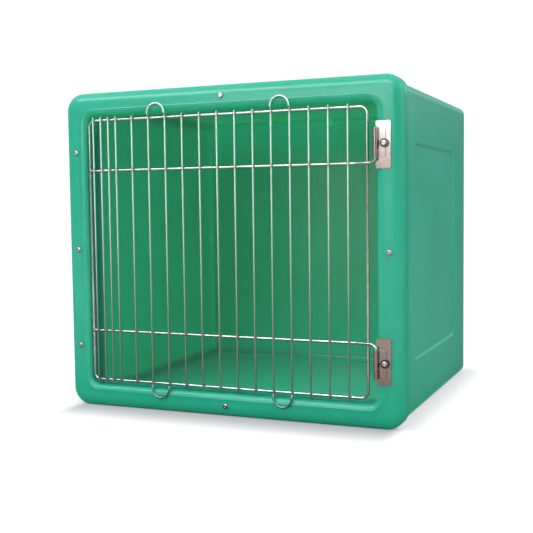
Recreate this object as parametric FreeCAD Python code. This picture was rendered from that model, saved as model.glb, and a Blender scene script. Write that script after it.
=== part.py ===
"""Moulded animal cage: a plastic box with a screwed-on front bezel and a hinged wire door.

Millimetres. +X is to the right seen from the front, +Y runs from the door to the back, +Z is up.
The front face of the bezel is modelled at y = 0; every piece is then moved so that the origin is
the centre of the body's underside.
"""
import FreeCAD, Part
import math
import os

V = FreeCAD.Vector

# ---------------------------------------------------------------- driving dimensions
bezel_width = 608.0
bezel_height = 549.0
bezel_depth = 34.0
bezel_corner = 31.0        # corner radius seen from the front
bezel_round_across = 22.0  # elliptical round from the front face to the outer sides
bezel_round_deep = 14.0
bezel_lip_round = 10.0     # front face to opening
bezel_face = 6.0           # thickness behind the front face
bezel_wall = 4.0           # wall around the opening
bezel_rim = 16.0           # outer wall, thick enough to seat on the body
bezel_back_round = 1.5
bezel_channel_round = 5.0  # hollow back, where the face meets the outer wall

opening_width = 521.0
opening_height = 469.5
opening_corner = 14.0

body_width = 579.0
body_height = 543.0
body_back = 553.0          # y of the outside of the back wall
body_wall = 8.0
body_edge_round = 14.0     # long edges, front to back
body_back_round = 12.0
cabin_edge_round = 22.0    # inside long edges
cabin_back_round = 12.0
cabin_front_round = 6.0
flange_depth = 12.0        # inward flange that the bezel is screwed to

panel_front = 125.0        # shallow panel pressed into each side
panel_back = 440.0
panel_bottom = 91.0
panel_top = 450.5
panel_depth = 3.0          # its sides slope at 45 degrees
panel_corner = 14.0
panel_round = 5.0          # where the slope meets the wall and the panel's floor

dimple_depth = 2.5         # soft round dimples inside, near the back corners
wall_dimple_radius = 22.0
corner_dimple_radius = 13.0
dimple_from_back = 22.0    # on the side walls

rod_diameter = 5.0         # door perimeter and the two rails
wire_diameter = 3.2
weld_gap = 0.02            # welded rods are drawn as separate pieces this far apart
door_left = -256.0         # centre lines of the perimeter rod
door_right = 245.5
door_half_height = 226.0
door_corner = 11.0
rod_plane = 5.2            # y of the perimeter rod and the rails
rail_half_height = 139.5   # rails lie this far above and below the door's middle

close_wires = 4            # close-set wires guard the free side of the door
close_pitch = 15.0
first_wire_inset = 10.0
last_wire_inset = 30.0
wire_count = 17
looped_wires = (5, 12)     # these wires and their right-hand neighbours form closed loops
wire_overhang = 2.5        # beyond the outside of the perimeter rod
loop_reach = 23.5          # apex of a loop beyond the perimeter rod's centre line
loop_face_gap = 0.4        # between a loop and the front of the bezel
loop_step_start = 3.0
loop_step_end = 7.4
loop_step_bend = 2.0
loop_rest_bend = 0.6
wire_tip_round = 0.5

sheet = 1.5                # hinge bracket thickness
bracket_width = 23.2
bracket_corner = 2.0
bracket_entry_reach = 38.5  # from the screw to the bracket's end where the pin enters
bracket_far_reach = 34.0
sleeve_entry_reach = 20.5
sleeve_far_reach = 23.5
relief_radius = 2.75
relief_reach = 24.4
notch_width = 4.0
notch_height = 1.2
hinge_x = 260.9            # axis of the hinge pins
pin_clearance = 0.1
pin_bend = 9.0
rail_bend = 15.0           # where the rail leaves the door's plane for the hinge
strap_turn = 60.0          # degrees that the sleeve curls on past its front
strap_bend = 2.25
strap_end = 276.4

screw_x = 281.5            # side screws left and right of the middle
hinge_screw_x = 274.4
screw_row = 169.0          # upper and lower screws from the middle height
screw_raise = 2.5          # side screws sit this far above the hinge screws' rows
screw_column = 256.0       # top and bottom screws from the middle height
screw_pad = 10.5           # flat pad under each head
screw_diameter = 5.0
screw_head_diameter = 9.5
screw_head_height = 2.75
screw_socket = 3.0
screw_socket_depth = 1.8
screw_crown = 4.5          # diameter of the head's flat crown
screw_crown_bulge = 0.95   # the head's domed edge bows out this far from a straight cone
screw_tip_chamfer = 0.5
screw_length = 40.0
hinge_screw_length = 45.0
screw_hole = 5.5
boss_diameter = 16.0
insert_diameter = 8.0
insert_length = 11.0
insert_fit = 0.02
insert_groove_width = 2.2
insert_groove_depth = 0.6
washer_diameter = 14.0
washer_thickness = 1.2

# ---------------------------------------------------------------- derived positions
middle = bezel_height / 2.0
pin_y = -(sheet + pin_clearance + rod_diameter / 2.0)
wire_plane = rod_plane - (rod_diameter + wire_diameter) / 2.0 - weld_gap
loop_plane = -(wire_diameter / 2.0 + loop_face_gap)
footprint_centre = (bezel_depth + body_back) / 2.0
upper_row = middle + screw_row
lower_row = middle - screw_row


# ---------------------------------------------------------------- shared shapes
def rounded_block(x0, x1, z0, z1, y0, y1, corner):
    """Block between y0 and y1 whose four edges along Y are rounded."""
    block = Part.makeBox(x1 - x0, y1 - y0, z1 - z0, V(x0, y0, z0))
    long_edges = [e for e in block.Edges if abs(e.BoundBox.YLength - (y1 - y0)) < 1e-6]
    return block.makeFillet(corner, long_edges)


def edges_in_plane(shape, y, half_width=1e9):
    """Edges that lie in the plane y, out to half_width on either side."""
    found = []
    for edge in shape.Edges:
        box = edge.BoundBox
        in_plane = abs(box.YMin - y) < 1e-4 and abs(box.YMax - y) < 1e-4
        if in_plane and max(box.XMax, -box.XMin) < half_width + 0.01:
            found.append(edge)
    return found


def round_rim(shape, y, radius, half_width=1e9):
    return shape.makeFillet(radius, edges_in_plane(shape, y, half_width))


def round_panel_rim(shape, x):
    """Fillet the outline of the panel pressed into the wall whose outside is the plane x."""
    rim = []
    for edge in shape.Edges:
        box = edge.BoundBox
        in_plane = abs(box.XMin - x) < 1e-4 and abs(box.XMax - x) < 1e-4
        if in_plane and box.YMin > panel_front - 1 and box.YMax < panel_back + 1:
            rim.append(edge)
    return shape.makeFillet(panel_round, rim)


def cylinder_y(radius, y0, y1, x, z):
    return Part.makeCylinder(radius, y1 - y0, V(x, y0, z), V(0, 1, 0))


def bent_path(points, radii, closed=False):
    """Wire through the points, with each corner rounded to its own radius."""
    count = len(points)
    starts, ends, arcs = [], [], []
    for i in range(count):
        here = points[i]
        if not closed and i in (0, count - 1):
            starts.append(here)
            ends.append(here)
            arcs.append(None)
            continue
        back = (points[i - 1] - here).normalize()
        ahead = (points[(i + 1) % count] - here).normalize()
        half = back.getAngle(ahead) / 2.0
        reach = radii[i] / math.tan(half)
        start = here + back * reach
        end = here + ahead * reach
        bisector = (back + ahead).normalize()
        centre = here + bisector * (radii[i] / math.sin(half))
        starts.append(start)
        ends.append(end)
        arcs.append(Part.Arc(start, centre - bisector * radii[i], end).toShape())
    edges = []
    for i in range(count if closed else count - 1):
        following = (i + 1) % count
        if ends[i].distanceToPoint(starts[following]) > 1e-6:
            edges.append(Part.LineSegment(ends[i], starts[following]).toShape())
        if arcs[following] is not None:
            edges.append(arcs[following])
    return Part.Wire(edges)


def bent_rod(points, radii, diameter, closed=False):
    """Round rod swept along a path with rounded corners."""
    path = bent_path(points, radii, closed)
    first = path.OrderedEdges[0]
    start = first.valueAt(first.FirstParameter)
    along = first.tangentAt(first.FirstParameter)
    if not closed and start.distanceToPoint(points[0]) > 1e-6:
        start = first.valueAt(first.LastParameter)
        along = first.tangentAt(first.LastParameter)
    section = Part.Wire(Part.makeCircle(diameter / 2.0, start, along))
    return path.makePipeShell([section], True, False)


def sheet_profile(start, heading, moves, thickness):
    """Flat outline of a bent sheet, followed along its middle.

    moves holds ("line", length) and ("arc", radius, degrees); a positive turn is to the left.
    """
    half = thickness / 2.0
    left, right = [], []
    here = V(*start)
    angle = math.radians(heading)
    for move in moves:
        side = V(-math.sin(angle), math.cos(angle), 0)
        if move[0] == "line":
            there = here + V(math.cos(angle), math.sin(angle), 0) * move[1]
            left.append(Part.LineSegment(here + side * half, there + side * half).toShape())
            right.append(Part.LineSegment(here - side * half, there - side * half).toShape())
            here = there
            continue
        sign = 1.0 if move[2] > 0 else -1.0
        centre = here + side * (sign * move[1])
        turn = math.radians(move[2])
        spokes = []
        for part in (0.0, 0.5, 1.0):
            a = angle + turn * part
            spokes.append(V(math.sin(a), -math.cos(a), 0) * sign)
        for edges, radius in ((left, move[1] - sign * half), (right, move[1] + sign * half)):
            edges.append(Part.Arc(*[centre + spoke * radius for spoke in spokes]).toShape())
        here = centre + spokes[2] * move[1]
        angle += turn
    caps = []
    for end in (0, -1):
        a = left[end].valueAt(left[end].LastParameter if end else left[end].FirstParameter)
        b = right[end].valueAt(right[end].LastParameter if end else right[end].FirstParameter)
        caps.append(Part.LineSegment(a, b).toShape())
    loop = Part.__sortEdges__(left + right + caps)
    return Part.Face(Part.Wire(loop))


# ---------------------------------------------------------------- where the screws go
plain_screws = {
    "top": (0.0, middle + screw_column),
    "bottom": (0.0, middle - screw_column),
    "left_upper": (-screw_x, upper_row + screw_raise),
    "left_middle": (-screw_x, middle + screw_raise),
    "left_lower": (-screw_x, lower_row + screw_raise),
    "right_middle": (screw_x, middle + screw_raise),
}
hinge_screws = {"upper": (hinge_screw_x, upper_row), "lower": (hinge_screw_x, lower_row)}
all_screw_places = list(plain_screws.values()) + list(hinge_screws.values())


# ---------------------------------------------------------------- moulded parts
def opening_block(y0, y1, grow=0.0):
    half_width = opening_width / 2.0 + grow
    half_height = opening_height / 2.0 + grow
    return rounded_block(-half_width, half_width, middle - half_height, middle + half_height,
                         y0, y1, opening_corner + grow)


def bezel_edge(reach):
    """Bezel's edge as a face in the plane z = 0: from x = 0 out to x = reach, with the elliptical round."""
    start = V(reach - bezel_round_across, 0, 0)
    end = V(reach, bezel_round_deep, 0)
    round_centre = V(start.x, end.y, 0)
    ellipse = Part.Ellipse(end, start, round_centre)
    return Part.Face(Part.Wire([
        Part.LineSegment(V(0, 0, 0), start).toShape(),
        Part.ArcOfEllipse(ellipse, 0, math.pi / 2).toShape(),
        Part.LineSegment(end, V(reach, bezel_depth, 0)).toShape(),
        Part.LineSegment(V(reach, bezel_depth, 0), V(0, bezel_depth, 0)).toShape(),
        Part.LineSegment(V(0, bezel_depth, 0), V(0, 0, 0)).toShape(),
    ]))


def bezel_blank():
    """Solid block with the bezel's rounded outline and rounded front."""
    half_width = bezel_width / 2.0
    across = half_width - bezel_corner
    up = middle - bezel_corner
    pieces = []
    for turn, reach, span in ((0, half_width, up), (90, middle, across)):
        for flip in (0, 180):
            strip = bezel_edge(reach).extrude(V(0, 0, 2 * span))
            strip.translate(V(0, 0, -span))
            strip.rotate(V(0, 0, 0), V(0, 1, 0), turn + flip)
            pieces.append(strip)
    for x in (-across, across):
        for z in (-up, up):
            corner = bezel_edge(bezel_corner).revolve(V(0, 0, 0), V(0, 1, 0), 360)
            corner.translate(V(x, 0, z))
            pieces.append(corner)
    blank = pieces[0].fuse(pieces[1:]).removeSplitter()
    blank.translate(V(0, 0, middle))
    return blank


def front_bezel():
    """Frame with a rounded front, hollow from behind, with a post and a flat pad for each screw."""
    half = bezel_width / 2.0
    frame = bezel_blank()
    frame = round_rim(frame, bezel_depth, bezel_back_round)
    frame = frame.cut(opening_block(-1, bezel_depth + 1))
    frame = round_rim(frame, 0, bezel_lip_round, opening_width / 2.0)
    channel = rounded_block(-half + bezel_rim, half - bezel_rim, bezel_rim, bezel_height - bezel_rim,
                            bezel_face, bezel_depth + 1, bezel_corner - bezel_rim)
    channel = round_rim(channel, bezel_face, bezel_channel_round)
    channel = channel.cut(opening_block(0, bezel_depth + 2, bezel_wall))
    frame = frame.cut(channel)
    posts = [cylinder_y(boss_diameter / 2.0, bezel_face / 2.0, bezel_depth, x, z) for x, z in all_screw_places]
    pads = [cylinder_y(screw_pad / 2.0, 0, bezel_face / 2.0, x, z) for x, z in all_screw_places]
    frame = frame.fuse(posts + pads)
    holes = [cylinder_y(screw_hole / 2.0, -1, bezel_depth + 1, x, z) for x, z in all_screw_places]
    return frame.cut(Part.makeCompound(holes)).removeSplitter()


def side_panel(side):
    """Tool that presses the shallow panel into one side wall; side is -1 or +1."""
    half_length = (panel_back - panel_front) / 2.0
    block = rounded_block(-half_length, half_length, panel_bottom, panel_top, -panel_depth, panel_depth,
                          panel_corner)
    block = block.makeChamfer(panel_depth, edges_in_plane(block, panel_depth))
    block = round_rim(block, panel_depth, panel_round)
    block.rotate(V(0, 0, 0), V(0, 0, 1), 90 * side)
    block.translate(V(side * body_width / 2.0, (panel_front + panel_back) / 2.0, 0))
    return block


def dimples():
    """Balls that sink soft round dimples into the side walls and into the back's top and bottom corners."""
    inside_half = body_width / 2.0 - body_wall
    inside_back = body_back - body_wall
    balls = []
    for side in (-1, 1):
        centre_x = side * (inside_half + dimple_depth - wall_dimple_radius)
        centre = V(centre_x, inside_back - dimple_from_back, middle)
        balls.append(Part.makeSphere(wall_dimple_radius, centre))
    corner_inset = cabin_back_round * (1 - math.sqrt(0.5))
    retreat = (corner_dimple_radius - dimple_depth) * math.sqrt(0.5)
    for height, up in ((body_height - body_wall, 1), (body_wall, -1)):
        centre = V(0, inside_back - corner_inset - retreat, height - up * (corner_inset + retreat))
        balls.append(Part.makeSphere(corner_dimple_radius, centre))
    return balls


def body_shell():
    """Box open at the front, with an inward flange behind the bezel."""
    half = body_width / 2.0
    shell = rounded_block(-half, half, 0, body_height, bezel_depth, body_back, body_edge_round)
    shell = round_rim(shell, body_back, body_back_round)
    inside_half = half - body_wall
    ceiling = body_height - body_wall
    inside_back = body_back - body_wall
    flange_back = bezel_depth + flange_depth
    cabin = rounded_block(-inside_half, inside_half, body_wall, ceiling, flange_back, inside_back,
                          cabin_edge_round)
    cabin = round_rim(cabin, inside_back, cabin_back_round)
    cabin = round_rim(cabin, flange_back, cabin_front_round)
    shell = shell.cut(cabin)
    shell = shell.cut(opening_block(bezel_depth - 1, flange_back + 1))
    shell = shell.cut(side_panel(-1)).cut(side_panel(1))
    shell = round_panel_rim(round_panel_rim(shell, -half), half)
    sockets = [cylinder_y(insert_diameter / 2.0 + insert_fit, bezel_depth - 1, bezel_depth + insert_length, x, z)
               for x, z in all_screw_places]
    for tool in dimples() + sockets:
        shell = shell.cut(tool)
    return shell


# ---------------------------------------------------------------- fasteners
def screw(x, z, seat, length):
    """Button-head socket screw; its head sits in front of the plane y = seat."""
    head_radius = screw_head_diameter / 2.0
    shank_radius = screw_diameter / 2.0
    crown = V(screw_crown / 2.0, -screw_head_height, 0)
    rim = V(head_radius, 0, 0)
    slope = (rim - crown).normalize()
    bulge = (crown + rim) * 0.5 + V(slope.y, -slope.x, 0) * screw_crown_bulge
    tip_start = V(shank_radius, length - screw_tip_chamfer, 0)
    tip = V(shank_radius - screw_tip_chamfer, length, 0)
    outline = Part.Wire([
        Part.LineSegment(V(0, -screw_head_height, 0), crown).toShape(),
        Part.Arc(crown, bulge, rim).toShape(),
        Part.LineSegment(rim, V(shank_radius, 0, 0)).toShape(),
        Part.LineSegment(V(shank_radius, 0, 0), tip_start).toShape(),
        Part.LineSegment(tip_start, tip).toShape(),
        Part.LineSegment(tip, V(0, length, 0)).toShape(),
        Part.LineSegment(V(0, length, 0), V(0, -screw_head_height, 0)).toShape(),
    ])
    solid = Part.Face(outline).revolve(V(0, 0, 0), V(0, 1, 0), 360)
    across_corners = screw_socket / math.cos(math.radians(30)) / 2.0
    corners = []
    for i in range(7):
        a = math.radians(60 * i)
        corners.append(V(across_corners * math.cos(a), -screw_head_height - 1, across_corners * math.sin(a)))
    socket = Part.Face(Part.makePolygon(corners)).extrude(V(0, screw_socket_depth + 1, 0))
    solid = solid.cut(socket)
    solid.translate(V(x, seat, z))
    return solid


def threaded_insert(x, z):
    """Brass insert moulded into the flange, with a groove that the plastic grips."""
    outside = insert_diameter / 2.0
    body = cylinder_y(outside, bezel_depth, bezel_depth + insert_length, x, z)
    bore = cylinder_y(screw_diameter / 2.0 + insert_fit, bezel_depth - 1, bezel_depth + insert_length + 1, x, z)
    groove_start = bezel_depth + (insert_length - insert_groove_width) / 2.0
    groove_end = groove_start + insert_groove_width
    groove = cylinder_y(outside + 1, groove_start, groove_end, x, z)
    groove = groove.cut(cylinder_y(outside - insert_groove_depth, groove_start, groove_end, x, z))
    return body.cut(bore).cut(groove)


def washer(x, z):
    seat = -2.0 * sheet
    disc = cylinder_y(washer_diameter / 2.0, seat - washer_thickness, seat, x, z)
    return disc.cut(cylinder_y(screw_hole / 2.0, seat - washer_thickness, seat, x, z))


# ---------------------------------------------------------------- hinge brackets
def hinge_bracket(row, up):
    """Bracket whose left edge is curled into a sleeve and folded back under the screw.

    up is +1 where the pin enters the sleeve from below and -1 where it enters from above.
    """
    plate_bottom = -bracket_entry_reach
    plate_height = bracket_entry_reach + bracket_far_reach
    plate = Part.makeBox(bracket_width, sheet, plate_height, V(hinge_x, -sheet, plate_bottom))
    upright = [e for e in plate.Edges if e.BoundBox.YLength > sheet / 2.0 and e.BoundBox.XMin > hinge_x + 1]
    plate = plate.makeFillet(bracket_corner, upright)
    curl = pin_clearance + rod_diameter / 2.0 + sheet / 2.0
    turn = math.radians(strap_turn)
    strap_middle = -1.5 * sheet
    drop = strap_middle - (pin_y - curl * math.cos(turn)) - strap_bend * (1 - math.cos(turn))
    slope_length = drop / math.sin(turn)
    strap_start = hinge_x + curl * math.sin(turn) + drop / math.tan(turn) + strap_bend * math.sin(turn)
    moves = [
        ("arc", curl, 180 + strap_turn),
        ("line", slope_length),
        ("arc", strap_bend, -strap_turn),
        ("line", strap_end - strap_start),
    ]
    tab = sheet_profile((hinge_x, pin_y + curl, -sleeve_entry_reach), 180, moves, sheet)
    tab = tab.extrude(V(0, 0, sleeve_entry_reach + sleeve_far_reach))
    relief = cylinder_y(relief_radius, -sheet - 1, 1, hinge_x + relief_radius - 0.4, -relief_reach)
    notch = Part.makeBox(notch_width, sheet + 2, notch_height, V(hinge_x - 1, -sheet - 1, sleeve_far_reach))
    plate = plate.cut(relief).cut(notch)
    bracket = plate.fuse(tab)
    bracket = bracket.cut(cylinder_y(screw_hole / 2.0, -4 * sheet, 1, hinge_screw_x, 0)).removeSplitter()
    if up < 0:
        bracket = bracket.mirror(V(0, 0, 0), V(0, 0, 1))
    bracket.translate(V(0, 0, row))
    return bracket


# ---------------------------------------------------------------- wire door
def perimeter_rod():
    bottom = middle - door_half_height
    top = middle + door_half_height
    corners = [
        V(door_left, rod_plane, bottom),
        V(door_right, rod_plane, bottom),
        V(door_right, rod_plane, top),
        V(door_left, rod_plane, top),
    ]
    return bent_rod(corners, [door_corner] * 4, rod_diameter, closed=True)


def hinge_rail(up):
    """Rail welded behind the wires; its right end passes in front of the perimeter and bends into the sleeve."""
    z = middle + up * rail_half_height
    row = middle + up * screw_row
    to_rod = V(door_right - hinge_x, rod_plane - pin_y, 0)
    contact = rod_diameter + weld_gap
    lean = math.asin(contact / to_rod.Length) + math.atan2(to_rod.y, to_rod.x)
    bend_x = hinge_x + (rod_plane - pin_y) / math.tan(lean)
    pin_tip = row + up * (sleeve_far_reach - sheet)
    points = [
        V(door_left + rod_diameter / 2.0 + weld_gap, rod_plane, z),
        V(bend_x, rod_plane, z),
        V(hinge_x, pin_y, z),
        V(hinge_x, pin_y, pin_tip),
    ]
    return bent_rod(points, [0, rail_bend, pin_bend, 0], rod_diameter)


def wire_positions():
    """Close-set wires at the free side, then even ones up to the hinge side."""
    first = door_left + first_wire_inset
    last = door_right - last_wire_inset
    close = [first + close_pitch * i for i in range(close_wires)]
    even_pitch = (last - close[-1]) / (wire_count - close_wires)
    return close + [close[-1] + even_pitch * (i + 1) for i in range(wire_count - close_wires)]


def straight_wire(x):
    reach = door_half_height + rod_diameter / 2.0 + wire_overhang
    wire = Part.makeCylinder(wire_diameter / 2.0, 2 * reach, V(x, wire_plane, middle - reach))
    tips = [e for e in wire.Edges if e.BoundBox.ZLength < 1e-6]
    return wire.makeFillet(wire_tip_round, tips)


def wire_loop(x0, x1):
    """Two wires joined into one closed loop; its ends step forward and stop on the bezel."""
    corners, radii = [], []
    for up, order in ((1, (x0, x1)), (-1, (x1, x0))):
        step_start = middle + up * (door_half_height + loop_step_start)
        step_end = middle + up * (door_half_height + loop_step_end)
        apex = middle + up * (door_half_height + loop_reach)
        corners += [
            V(order[0], wire_plane, step_start),
            V(order[0], loop_plane, step_end),
            V(order[0], loop_plane, apex),
            V(order[1], loop_plane, apex),
            V(order[1], loop_plane, step_end),
            V(order[1], wire_plane, step_start),
        ]
        bow = abs(x1 - x0) / 2.0 - 0.05
        radii += [loop_step_bend, loop_rest_bend, bow, bow, loop_rest_bend, loop_step_bend]
    return bent_rod(corners, radii, wire_diameter, closed=True)


# ---------------------------------------------------------------- all pieces
def build():
    pieces = {"body_shell": body_shell(), "front_bezel": front_bezel()}
    for name, (x, z) in plain_screws.items():
        pieces["screw_" + name] = screw(x, z, 0.0, screw_length)
        pieces["insert_" + name] = threaded_insert(x, z)
    for name, (x, z) in hinge_screws.items():
        up = 1 if name == "upper" else -1
        pieces["hinge_bracket_" + name] = hinge_bracket(z, up)
        pieces["hinge_washer_" + name] = washer(x, z)
        pieces["hinge_screw_" + name] = screw(x, z, -2.0 * sheet - washer_thickness, hinge_screw_length)
        pieces["hinge_insert_" + name] = threaded_insert(x, z)
        pieces["door_rail_" + name] = hinge_rail(up)
    pieces["door_perimeter"] = perimeter_rod()
    places = wire_positions()
    looped = set()
    for name, index in zip(("left", "right"), looped_wires):
        pieces["door_loop_" + name] = wire_loop(places[index], places[index + 1])
        looped |= {index, index + 1}
    straight = [x for i, x in enumerate(places) if i not in looped]
    for number, x in enumerate(straight, 1):
        pieces["door_wire_%02d" % number] = straight_wire(x)
    return pieces


os.makedirs("parts", exist_ok=True)
for node, shape in build().items():
    shape.translate(V(0, -footprint_centre, 0))
    shape.exportStep("parts/%s.step" % node)
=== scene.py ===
"""Looks of the moulded animal cage: materials, weld beads, floor, soft light and camera.

Metres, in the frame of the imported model: +X to the right seen from the front, +Y to the back, +Z up.
"""
import math

import bmesh
import bpy
from mathutils import Matrix, Vector, noise


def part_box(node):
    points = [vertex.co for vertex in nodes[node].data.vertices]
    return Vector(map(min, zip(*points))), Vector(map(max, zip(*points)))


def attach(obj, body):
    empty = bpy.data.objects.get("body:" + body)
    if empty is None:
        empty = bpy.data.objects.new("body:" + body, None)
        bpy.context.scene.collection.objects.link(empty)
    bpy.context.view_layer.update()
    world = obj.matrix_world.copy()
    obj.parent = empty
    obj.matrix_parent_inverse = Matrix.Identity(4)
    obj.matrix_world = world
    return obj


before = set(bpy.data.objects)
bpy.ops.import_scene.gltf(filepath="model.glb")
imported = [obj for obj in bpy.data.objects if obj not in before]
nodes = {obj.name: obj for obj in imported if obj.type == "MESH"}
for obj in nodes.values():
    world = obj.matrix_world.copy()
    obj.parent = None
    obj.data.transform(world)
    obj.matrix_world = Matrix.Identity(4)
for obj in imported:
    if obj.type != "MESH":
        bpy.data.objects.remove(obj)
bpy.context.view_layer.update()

MM = 0.001

# ---------------------------------------------------------------- places taken from the frame
door_low, door_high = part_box("door_perimeter")
rod_radius = (door_high.y - door_low.y) / 2
wire_low, wire_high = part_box("door_wire_01")
wire_radius = (wire_high.y - wire_low.y) / 2
rod_left = door_low.x + rod_radius
rod_right = door_high.x - rod_radius
rod_bottom = door_low.z + rod_radius
rod_top = door_high.z - rod_radius
rod_y = (door_low.y + door_high.y) / 2
wire_y = (wire_low.y + wire_high.y) / 2
touch_y = (rod_y - rod_radius + wire_y + wire_radius) / 2
upper_rail_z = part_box("door_rail_upper")[0].z + rod_radius
lower_rail_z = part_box("door_rail_lower")[1].z - rod_radius
bezel_low, bezel_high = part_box("front_bezel")
body_low, body_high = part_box("body_shell")
bracket_low, bracket_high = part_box("hinge_bracket_upper")

# ---------------------------------------------------------------- sizes of the moulded pieces
bezel_sides = 43.5 * MM             # from the opening to the bezel's outer side
bezel_ends = 39.75 * MM             # from the opening to the bezel's top and bottom
opening_corner = 14 * MM
lip_crest = 10 * MM                 # outwards from the opening: where the lip's round begins
wall = 8 * MM
panel_y = (-168 * MM, 146 * MM)     # shallow panels in the sides
panel_z = (91 * MM, 450 * MM)


# ---------------------------------------------------------------- node helpers
class Surface:
    """A material's node tree with short calls for the nodes that it is made of."""

    def __init__(self, name):
        self.material = bpy.data.materials.new(name)
        self.material.use_nodes = True
        self.tree = self.material.node_tree
        self.shader = self.tree.nodes["Principled BSDF"]
        place = self.tree.nodes.new("ShaderNodeTexCoord")
        self.place = place.outputs["Object"]
        self.normal = place.outputs["Normal"]

    def link(self, value, socket):
        if isinstance(value, bpy.types.NodeSocket):
            self.tree.links.new(value, socket)
        else:
            socket.default_value = value

    def maths(self, operation, a, b=0.0, c=0.0, clamp=False):
        node = self.tree.nodes.new("ShaderNodeMath")
        node.operation = operation
        node.use_clamp = clamp
        for value, socket in zip((a, b, c), node.inputs):
            self.link(value, socket)
        return node.outputs[0]

    def remap(self, value, low, high, to_low=0.0, to_high=1.0):
        """Value from low..high onto to_low..to_high with soft ends."""
        node = self.tree.nodes.new("ShaderNodeMapRange")
        node.interpolation_type = "SMOOTHSTEP"
        for item, socket in zip((value, low, high, to_low, to_high), node.inputs):
            self.link(item, socket)
        return node.outputs[0]

    def part(self, vector, axis):
        node = self.tree.nodes.new("ShaderNodeSeparateXYZ")
        self.link(vector, node.inputs[0])
        return node.outputs["XYZ".index(axis)]

    def stretch(self, factors):
        node = self.tree.nodes.new("ShaderNodeVectorMath")
        node.operation = "MULTIPLY"
        self.link(self.place, node.inputs[0])
        node.inputs[1].default_value = factors
        return node.outputs[0]

    def noise(self, size, detail=2.0, roughness=0.5, place=None):
        """Noise from 0 to 1 whose lumps are about size metres across."""
        node = self.tree.nodes.new("ShaderNodeTexNoise")
        self.link(place or self.place, node.inputs["Vector"])
        node.inputs["Scale"].default_value = 1.0 / size
        node.inputs["Detail"].default_value = detail
        node.inputs["Roughness"].default_value = roughness
        return node.outputs["Fac"]

    def mix(self, share, a, b):
        node = self.tree.nodes.new("ShaderNodeMix")
        node.data_type = "RGBA"
        self.link(share, node.inputs["Factor"])
        self.link(colour(a), node.inputs["A"])
        self.link(colour(b), node.inputs["B"])
        return node.outputs["Result"]

    def bump(self, height, distance, below=None):
        node = self.tree.nodes.new("ShaderNodeBump")
        node.inputs["Distance"].default_value = distance
        self.link(height, node.inputs["Height"])
        if below is not None:
            self.link(below, node.inputs["Normal"])
        return node.outputs["Normal"]

    def edges(self, low, high):
        """1 on rounded edges, 0 on flat faces, told by how far the normal leans from every axis."""
        size = self.maths("MAXIMUM", *[self.maths("ABSOLUTE", self.part(self.normal, a)) for a in "XY"])
        size = self.maths("MAXIMUM", size, self.maths("ABSOLUTE", self.part(self.normal, "Z")))
        return self.remap(self.maths("SUBTRACT", 1.0, size), low, high)

    def finish(self, **inputs):
        for name, value in inputs.items():
            socket = self.shader.inputs[name.replace("_", " ")]
            self.link(colour(value) if "Color" in name else value, socket)
        return self.material


def colour(value):
    return (*value, 1.0) if isinstance(value, tuple) and len(value) == 3 else value


# ---------------------------------------------------------------- materials
def out_from_opening(s):
    """Metres outwards from the opening, a rectangle with rounded corners seen from the front."""
    reach = []
    for axis, border in (("X", bezel_sides), ("Z", bezel_ends)):
        low, high = getattr(bezel_low, axis.lower()), getattr(bezel_high, axis.lower())
        away = s.maths("ABSOLUTE", s.maths("SUBTRACT", s.part(s.place, axis), (low + high) / 2))
        reach.append(s.maths("SUBTRACT", away, (high - low) / 2 - border - opening_corner))
    square = [s.maths("POWER", s.maths("MAXIMUM", r, 0.0), 2.0) for r in reach]
    outside = s.maths("SQRT", s.maths("ADD", *square))
    inside = s.maths("MINIMUM", s.maths("MAXIMUM", *reach), 0.0)
    return s.maths("SUBTRACT", s.maths("ADD", outside, inside), opening_corner)


def dished_face(s):
    """Height of the bezel's slightly dished face, in millimetres: it climbs to a fine ridge at the lip."""
    foot = 21 * MM
    climb_height, ridge_height = 0.85, 0.22
    ridge_reach = 1.8 * MM
    out = out_from_opening(s)
    share = s.maths("DIVIDE", s.maths("SUBTRACT", foot, out), foot - lip_crest, clamp=True)
    climb = s.maths("MULTIPLY", s.maths("POWER", share, 2.0), climb_height)
    from_crest = s.maths("ABSOLUTE", s.maths("SUBTRACT", out, lip_crest))
    return s.maths("ADD", climb, s.remap(from_crest, 0.0, ridge_reach, ridge_height, 0.0))


def lip_painted_glow(s):
    """Painted glow on the lip over the opening: emission that lightens its shaded underside, standing in for
    light from the pale floor soaking into it.
    """
    strength = 0.12
    inside = s.remap(out_from_opening(s), 0.5 * MM, 6 * MM, strength, 0.0)
    return s.maths("MULTIPLY", inside, s.remap(s.part(s.place, "Z"), 0.47, 0.50))


def between(s, value, low, high):
    """1 from low to high and 0 outside them, with a soft edge around each."""
    blend = 15 * MM
    rise = s.remap(value, low - blend, low + blend)
    return s.maths("MULTIPLY", rise, s.remap(value, high - blend, high + blend, 1.0, 0.0))


def even_glow(s):
    """How far light spreads inside each wall, so that all of them glow alike.

    It is less in the thin side panels, the floor, the back wall and the front of the ceiling, and more in
    the thick upright corners at the back.
    """
    x = s.maths("ABSOLUTE", s.part(s.place, "X"))
    y, z = s.part(s.place, "Y"), s.part(s.place, "Z")
    panel = s.maths("MULTIPLY", between(s, y, *panel_y), between(s, z, *panel_z))
    corner = s.maths("MULTIPLY", s.remap(x, 0.255, 0.280), s.remap(y, 0.215, 0.240))
    ceiling_share = s.remap(y, 0.0, 0.25, 0.74, 1.05)
    back_share = s.remap(z, 0.40, 0.52, 0.7, 1.0)
    level = s.remap(panel, 0, 1, MM, 0.64 * MM)
    for share in (
        s.remap(z, 0.004, 0.03, 0.25, 1.0),
        s.remap(z, 0.50, body_high.z - wall, 1.0, ceiling_share),
        s.remap(y, 0.236, 0.250, 1.0, back_share),
        s.remap(corner, 0, 1, 1.0, 1.2),
    ):
        level = s.maths("MULTIPLY", level, share)
    return level


def floor_painted_light(s):
    """Painted light: 1 on the floor inside the cage, whose colour is lightened to stand in for light falling
    on it, 0 elsewhere.
    """
    return s.remap(s.part(s.place, "Z"), wall - 2 * MM, 2 * wall, 1.0, 0.0)


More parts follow.
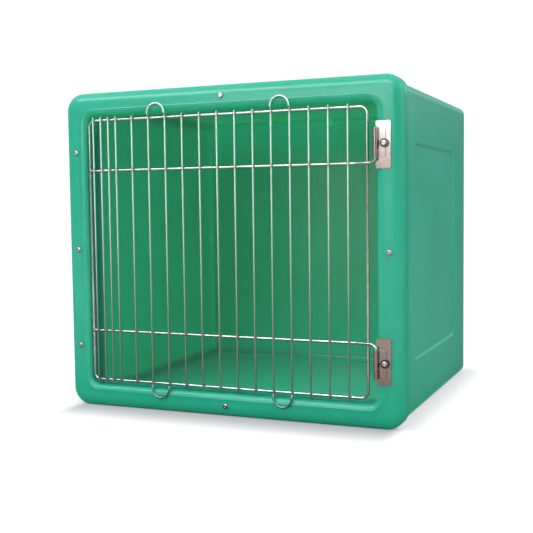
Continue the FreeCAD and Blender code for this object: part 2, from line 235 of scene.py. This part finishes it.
def moulded_plastic(name, teal, deep, face=None, painted_light=None, glow=MM, painted_glow=0.0, painted_glow_hue=(1, 1, 1)):
    """Glossy moulded plastic: mottled tone, orange peel, slow waves, faint scuffs and paler edges.

    Daylight soaks through the walls; glow scales how far each colour spreads inside them. bloom is the
    strength of a faint painted glow, an emission over the colour in the hue that haze gives. face gives the
    height of a relief, and worn where the colour is lightened as painted light; these and glow and bloom can
    be functions of the surface.
    """
    pale = tuple(c + lift for c, lift in zip(teal, (0.04, 0.06, 0.07)))
    # paler green for the painted light on the cage's floor
    painted_light_hue = (0.035, 0.70, 0.38)
    spread = (9.0, 38.0, 29.0)      # millimetres that red, green and blue light travel inside
    s = Surface(name)
    drift = s.noise(0.16, 1)
    mottle = s.noise(0.018, 3, 0.6)
    tone = s.maths("ADD", s.maths("MULTIPLY", drift, 0.82), s.maths("MULTIPLY", mottle, 0.18))
    base = s.mix(s.remap(tone, 0.36, 0.64), deep, teal)
    rubbed = s.maths("MULTIPLY", s.edges(0.06, 0.26), s.remap(s.noise(0.06, 1), 0.38, 0.66))
    base = s.mix(s.maths("MULTIPLY", rubbed, 0.16), base, pale)
    scuffs = s.remap(s.noise(0.07, 2), 0.55, 0.80)
    base = s.mix(s.maths("MULTIPLY", scuffs, 0.08), base, pale)
    # Painted light: the parts picked out are lightened towards a paler green, standing in for light falling
    # on them.
    if painted_light is not None:
        base = s.mix(painted_light(s), base, painted_light_hue)
    relief = None if face is None else s.bump(face(s), MM)
    waves = s.bump(s.noise(0.14, 1.0), 0.28 * MM, relief)
    peel = s.bump(s.noise(3.2 * MM, 2), 0.005 * MM, waves)
    # The emission is a painted glow: the plastic gives off light of its own.
    return s.finish(Base_Color=base, Roughness=0.28, Normal=peel, IOR=1.5, Subsurface_Weight=1.0,
                    Subsurface_Scale=glow(s) if callable(glow) else glow, Subsurface_Radius=spread,
                    Emission_Color=painted_glow_hue, Emission_Strength=painted_glow(s) if callable(painted_glow) else painted_glow)


def steel(name, hue, dull_hue, rough, grain, tint_rows=(), tint_reach=4.0 * MM, painted_reflection=None):
    """Drawn or brushed steel: streaks along the long direction, smudges, and heat tint at weld rows.

    stained gives the hue of a painted reflection and a function for where it lies.
    """
    s = Surface(name)
    straw = (0.42, 0.27, 0.17)
    streaks = s.noise(0.35 * MM, 3, 0.6, s.stretch(grain))
    smudge = s.noise(0.022, 4, 0.6)
    base = s.mix(s.remap(smudge, 0.38, 0.62), hue, dull_hue)
    base = s.mix(s.maths("MULTIPLY", s.remap(streaks, 0.35, 0.7), 0.35), base, dull_hue)
    # Painted reflection: the steel is mixed towards the given hue where the function says.
    if painted_reflection is not None:
        base = s.mix(painted_reflection[1](s), base, painted_reflection[0])
    tint = None
    for row in tint_rows:
        away = s.maths("ABSOLUTE", s.maths("SUBTRACT", s.part(s.place, "Z"), row))
        near = s.remap(away, rod_radius, rod_radius + tint_reach, 1.0, 0.0)
        tint = near if tint is None else s.maths("MAXIMUM", tint, near)
    if tint is not None:
        patchy = s.maths("MULTIPLY", tint, s.remap(s.noise(4 * MM, 3), 0.3, 0.6, 0.35, 0.9))
        base = s.mix(s.maths("MULTIPLY", patchy, 0.55), base, straw)
    shine = s.remap(smudge, 0.35, 0.65, rough, rough + 0.1)
    shine = s.maths("ADD", shine, s.maths("MULTIPLY", streaks, 0.08))
    lines = s.bump(streaks, 0.012 * MM)
    return s.finish(Base_Color=base, Roughness=shine, Normal=lines, Metallic=1.0)


def low_on_the_door(s):
    """Where the wires take a darker, greener painted reflection: 0 on the upper half of the door, rising
    softly towards its foot.
    """
    return s.remap(s.part(s.place, "Z"), 0.10, 0.42, 1.0, 0.0)


def bracket_painted_reflection(s):
    """Painted reflection on the brackets: 0 at the upper outer corner of the upper bracket, rising to 1 over
    the rest, where the steel takes a painted brown reflection.
    """
    size = bracket_high - bracket_low
    down = s.maths("DIVIDE", s.maths("SUBTRACT", bracket_high.z, s.part(s.place, "Z")), size.z)
    inwards = s.maths("DIVIDE", s.maths("SUBTRACT", bracket_high.x, s.part(s.place, "X")), size.x)
    return s.remap(s.maths("ADD", down, s.maths("MULTIPLY", inwards, 0.6)), 0.15, 0.75)


def weld_metal():
    """Bright bead metal with a dark, straw-coloured rim of heat."""
    s = Surface("weld_metal")
    burn = s.remap(s.noise(1.6 * MM, 4, 0.65), 0.38, 0.62)
    base = s.mix(burn, (0.58, 0.50, 0.45), (0.33, 0.20, 0.13))
    ripples = s.bump(s.noise(0.8 * MM, 3), 0.12 * MM)
    shine = s.remap(burn, 0, 1, 0.28, 0.5)
    return s.finish(Base_Color=base, Roughness=shine, Normal=ripples, Metallic=1.0)


def brass():
    """Turned brass with a little tarnish."""
    s = Surface("insert_brass_finish")
    tarnish = s.remap(s.noise(3 * MM, 4, 0.6), 0.35, 0.65)
    base = s.mix(tarnish, (0.72, 0.50, 0.20), (0.48, 0.33, 0.14))
    turned = s.bump(s.noise(0.4 * MM, 2, 0.5, s.stretch((1, 6, 1))), 0.02 * MM)
    shine = s.remap(tarnish, 0, 1, 0.24, 0.42)
    return s.finish(Base_Color=base, Roughness=shine, Normal=turned, Metallic=1.0)


def dress_nodes():
    """Give every carried-over piece its finish, by the material slot that the record names."""
    weld_rows = (rod_bottom, lower_rail_z, upper_rail_z, rod_top)
    finishes = {
        # cage_plastic: its floor is lightened as painted light, and the whole body gives off a faint white
        # painted glow.
        "moulded_plastic": moulded_plastic("cage_plastic", (0.024, 0.42, 0.28), (0.020, 0.40, 0.26),
                                           painted_light=floor_painted_light, glow=even_glow, painted_glow=0.014),
        # bezel_plastic: the lip over the opening gives off a teal painted glow.
        "bezel_plastic": moulded_plastic("bezel_gloss_plastic", (0.021, 0.41, 0.26), (0.018, 0.39, 0.24),
                                         face=dished_face, glow=0.45 * MM, painted_glow=lip_painted_glow,
                                         painted_glow_hue=(0.04, 1.0, 0.33)),
        "door_rod_steel": steel("rod_steel", (0.63, 0.68, 0.66), (0.50, 0.53, 0.51), 0.12, (1, 1, 1)),
        # wire_steel: darker and greener towards the foot of the door, a painted reflection.
        "door_wire_steel": steel("wire_steel", (0.74, 0.94, 0.90), (0.66, 0.82, 0.78), 0.34, (1, 1, 0.02),
                                 weld_rows, painted_reflection=((0.30, 0.40, 0.36), low_on_the_door)),
        # brushed_bracket: brown except at the upper outer corner, a painted reflection.
        "bracket_steel": steel("brushed_bracket", (0.70, 0.69, 0.68), (0.58, 0.55, 0.53), 0.16, (1, 1, 0.02),
                               painted_reflection=((0.42, 0.33, 0.30), bracket_painted_reflection)),
        # washer_steel: painted dark reflection, the steel coloured almost black.
        "washer_steel": steel("washer_painted_dark_reflection", (0.12, 0.11, 0.11), (0.07, 0.065, 0.06), 0.30, (1, 1, 1)),
        "screw_steel": steel("screw_finish", (0.66, 0.65, 0.64), (0.52, 0.51, 0.50), 0.08, (1, 0.05, 1)),
        "insert_brass": brass(),
    }
    for node in nodes.values():
        for slot in node.material_slots:
            slot.material = finishes[slot.material.name]


# ---------------------------------------------------------------- weld beads
def bead(mesh, centre, size, seed):
    """Add one flattened, uneven bead of weld metal."""
    made = bmesh.ops.create_icosphere(mesh, subdivisions=3, radius=1.0)["verts"]
    for vertex in made:
        swell = 1.0 + 0.22 * noise.noise(vertex.co * 1.7 + Vector((seed, 0, 0)))
        shaped = Vector(vertex.co[i] * size[i] * swell for i in range(3))
        vertex.co = Vector(centre) + shaped


def bead_piece(name, mesh, finish):
    """Turn a mesh of beads into a piece that rides on the door."""
    data = bpy.data.meshes.new(name)
    mesh.to_mesh(data)
    mesh.free()
    for polygon in data.polygons:
        polygon.use_smooth = True
    data.materials.append(finish)
    piece = bpy.data.objects.new(name, data)
    bpy.context.scene.collection.objects.link(piece)
    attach(piece, "door")


def weld_beads():
    """Small beads where the wires cross the rods, and larger ones where the rails meet the perimeter."""
    finish = weld_metal()
    wire_bead = (wire_radius + 0.9 * MM, 1.1 * MM, 1.9 * MM)
    left_bead = (3.4 * MM, 2.4 * MM, 3.2 * MM)
    right_bead = (2.6 * MM, 1.6 * MM, 3.6 * MM)
    wires = []
    for name in sorted(nodes):
        low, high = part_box(name)
        if name.startswith("door_wire"):
            wires.append((low.x + high.x) / 2)
        if name.startswith("door_loop"):
            wires += [low.x + wire_radius, high.x - wire_radius]
    rows = {"top": rod_top, "upper_rail": upper_rail_z, "lower_rail": lower_rail_z, "bottom": rod_bottom}
    for row, z in rows.items():
        mesh = bmesh.new()
        for i, x in enumerate(sorted(wires)):
            bead(mesh, (x, touch_y, z), wire_bead, seed=i * 3.7 + z * 50)
        bead_piece("wire_welds_" + row, mesh, finish)
    mesh = bmesh.new()
    for z in (upper_rail_z, lower_rail_z):
        left = (rod_left + rod_radius * 0.7, rod_y - rod_radius * 0.55, z)
        bead(mesh, left, left_bead, seed=z * 90)
        bead(mesh, (rod_right, rod_y - rod_radius, z), right_bead, seed=z * 70)
    bead_piece("rail_welds", mesh, finish)


# ---------------------------------------------------------------- floor, light and camera
def standing_shade(s):
    """Painted shadow on the floor, 0 to 1: narrow around the cage, and wider under its rounded front edge.
    """
    around_reach, around_strength = 55 * MM, 0.34
    ahead_from, ahead_to, ahead_strength = 30 * MM, 145 * MM, 0.69
    x, y = s.maths("ABSOLUTE", s.part(s.place, "X")), s.part(s.place, "Y")
    beside = s.maths("MAXIMUM", s.maths("SUBTRACT", x, body_high.x), 0.0)
    depth = s.maths("ABSOLUTE", s.maths("SUBTRACT", y, (body_low.y + body_high.y) / 2))
    beyond = s.maths("MAXIMUM", s.maths("SUBTRACT", depth, body_high.y), 0.0)
    away = s.maths("SQRT", s.maths("ADD", s.maths("POWER", beside, 2.0), s.maths("POWER", beyond, 2.0)))
    around = s.maths("MULTIPLY", s.remap(away, 0.0, around_reach, 1.0, 0.0), around_strength)
    ahead = s.remap(s.maths("SUBTRACT", body_low.y, y), ahead_from, ahead_to, 1.0, 0.0)
    sides = s.remap(x, bezel_high.x - 30 * MM, bezel_high.x + 10 * MM, ahead_strength, 0.0)
    in_front = s.remap(y, body_low.y - 10 * MM, body_low.y, 1.0, 0.0)
    ahead = s.maths("MULTIPLY", s.maths("MULTIPLY", ahead, sides), in_front)
    return s.maths("MAXIMUM", around, ahead)


def floor():
    """Plain pale floor. Seen directly it is white, with a painted shadow where the cage stands; what it
    throws back is dimmer and warmer.
    """
    seen_grey, thrown_front, thrown_back = (0.25, 0.25, 0.25), (0.50, 0.44, 0.40), (0.10, 0.085, 0.075)
    seen_glow = 0.85
    mesh = bmesh.new()
    bmesh.ops.create_grid(mesh, x_segments=8, y_segments=8, size=12.0)
    data = bpy.data.meshes.new("floor")
    mesh.to_mesh(data)
    mesh.free()
    s = Surface("floor_white")
    ray = s.tree.nodes.new("ShaderNodeLightPath")
    seen = ray.outputs["Is Camera Ray"]
    behind = s.maths("MULTIPLY", s.remap(s.part(s.place, "Y"), -0.9, -0.35), ray.outputs["Is Glossy Ray"])
    base = s.mix(seen, s.mix(behind, thrown_front, thrown_back), seen_grey)
    # painted shadow: the floor's own glow is cut down where the cage stands
    lit = s.maths("MULTIPLY", s.maths("SUBTRACT", 1.0, standing_shade(s)), seen_glow)
    glow = s.maths("MULTIPLY", seen, lit)
    data.materials.append(s.finish(Base_Color=base, Roughness=0.9, Specular_IOR_Level=0.0,
                                   Emission_Color=(1, 1, 1), Emission_Strength=glow))
    plane = bpy.data.objects.new("floor", data)
    plane.location.z = -0.2 * MM
    bpy.context.scene.collection.objects.link(plane)


def soft_box(name, place, target, width, height, watts, tint=(1, 1, 1)):
    """Rectangular light at a place, turned to a target."""
    light = bpy.data.lights.new(name, "AREA")
    light.shape = "RECTANGLE"
    light.size = width
    light.size_y = height
    light.energy = watts
    light.color = tint
    lamp = bpy.data.objects.new(name, light)
    lamp.location = place
    lamp.rotation_euler = (Vector(target) - Vector(place)).to_track_quat("-Z", "Y").to_euler()
    bpy.context.scene.collection.objects.link(lamp)


def room_light():
    """Room that is white seen directly, and darker in reflections than in the light that it casts."""
    world = bpy.data.worlds.new("room")
    bpy.context.scene.world = world
    world.use_nodes = True
    tree = world.node_tree
    glow = tree.nodes["Background"]
    place = tree.nodes.new("ShaderNodeTexCoord")
    axes = tree.nodes.new("ShaderNodeSeparateXYZ")
    tree.links.new(place.outputs["Generated"], axes.inputs[0])
    ray = tree.nodes.new("ShaderNodeLightPath")

    def fade(value, low, high, a, b):
        ramp = tree.nodes.new("ShaderNodeMapRange")
        ramp.interpolation_type = "SMOOTHSTEP"
        ramp.inputs["From Min"].default_value = low
        ramp.inputs["From Max"].default_value = high
        tree.links.new(value, ramp.inputs["Value"])
        blend = tree.nodes.new("ShaderNodeMix")
        blend.data_type = "RGBA"
        tree.links.new(ramp.outputs[0], blend.inputs["Factor"])
        for side, socket in ((a, blend.inputs["A"]), (b, blend.inputs["B"])):
            if isinstance(side, bpy.types.NodeSocket):
                tree.links.new(side, socket)
            else:
                socket.default_value = (*side, 1.0)
        return blend.outputs["Result"]

    def dome(front, behind_low, behind_high, top):
        """Colour of the room by direction: in front, behind near the floor and higher up, and overhead."""
        behind = fade(axes.outputs["Z"], 0.0, 0.3, behind_low, behind_high)
        around = fade(axes.outputs["Y"], 0.0, 0.6, front, behind)
        return fade(axes.outputs["Z"], 0.35, 0.75, around, top)

    white = (1.05, 1.05, 1.05)
    cast = dome((0.20, 0.17, 0.16), (0.80, 0.80, 0.80), (1.15, 1.15, 1.15), (1.18, 1.18, 1.24))
    mirrored = dome((0.22, 0.20, 0.19), (0.08, 0.075, 0.07), (0.30, 0.29, 0.29), (0.70, 0.70, 0.72))
    indirect = fade(ray.outputs["Is Glossy Ray"], 0.0, 1.0, cast, mirrored)
    shown = fade(ray.outputs["Is Camera Ray"], 0.0, 1.0, indirect, white)
    tree.links.new(shown, glow.inputs["Color"])


def lights():
    room_light()
    aim = (0.0, 0.0, 0.25)
    soft_box("front_high", (-0.9, -3.0, 2.95), aim, 4.2, 0.65, 88, (0.92, 1.0, 1.13))
    soft_box("front_low", (-0.65, -4.0, 1.35), aim, 2.5, 1.2, 42, (0.92, 1.0, 1.02))
    soft_box("right", (3.0, -0.8, 1.6), aim, 1.6, 2.0, 20, (0.96, 1.0, 1.13))
    soft_box("right_back", (2.3, 3.2, 1.7), aim, 1.6, 1.4, 20, (0.86, 1.0, 1.05))


def camera():
    """Standing to the right of the cage and a little above it, with a slight downward tilt."""
    turn, tilt, roll = math.radians(23.036), math.radians(-3.949), math.radians(-0.705)
    place = (0.6568, -1.6555, 0.3549)
    data = bpy.data.cameras.new("camera")
    data.sensor_width = 36.0
    data.lens = 62.18
    eye = bpy.data.objects.new("camera", data)
    upright = Matrix.Rotation(turn, 4, "Z") @ Matrix.Rotation(math.radians(90) + tilt, 4, "X")
    eye.matrix_world = Matrix.Translation(place) @ upright @ Matrix.Rotation(roll, 4, "Z")
    bpy.context.scene.collection.objects.link(eye)
    bpy.context.scene.camera = eye


dress_nodes()
weld_beads()
floor()
lights()
camera()
bpy.context.scene.view_settings.view_transform = "Standard"
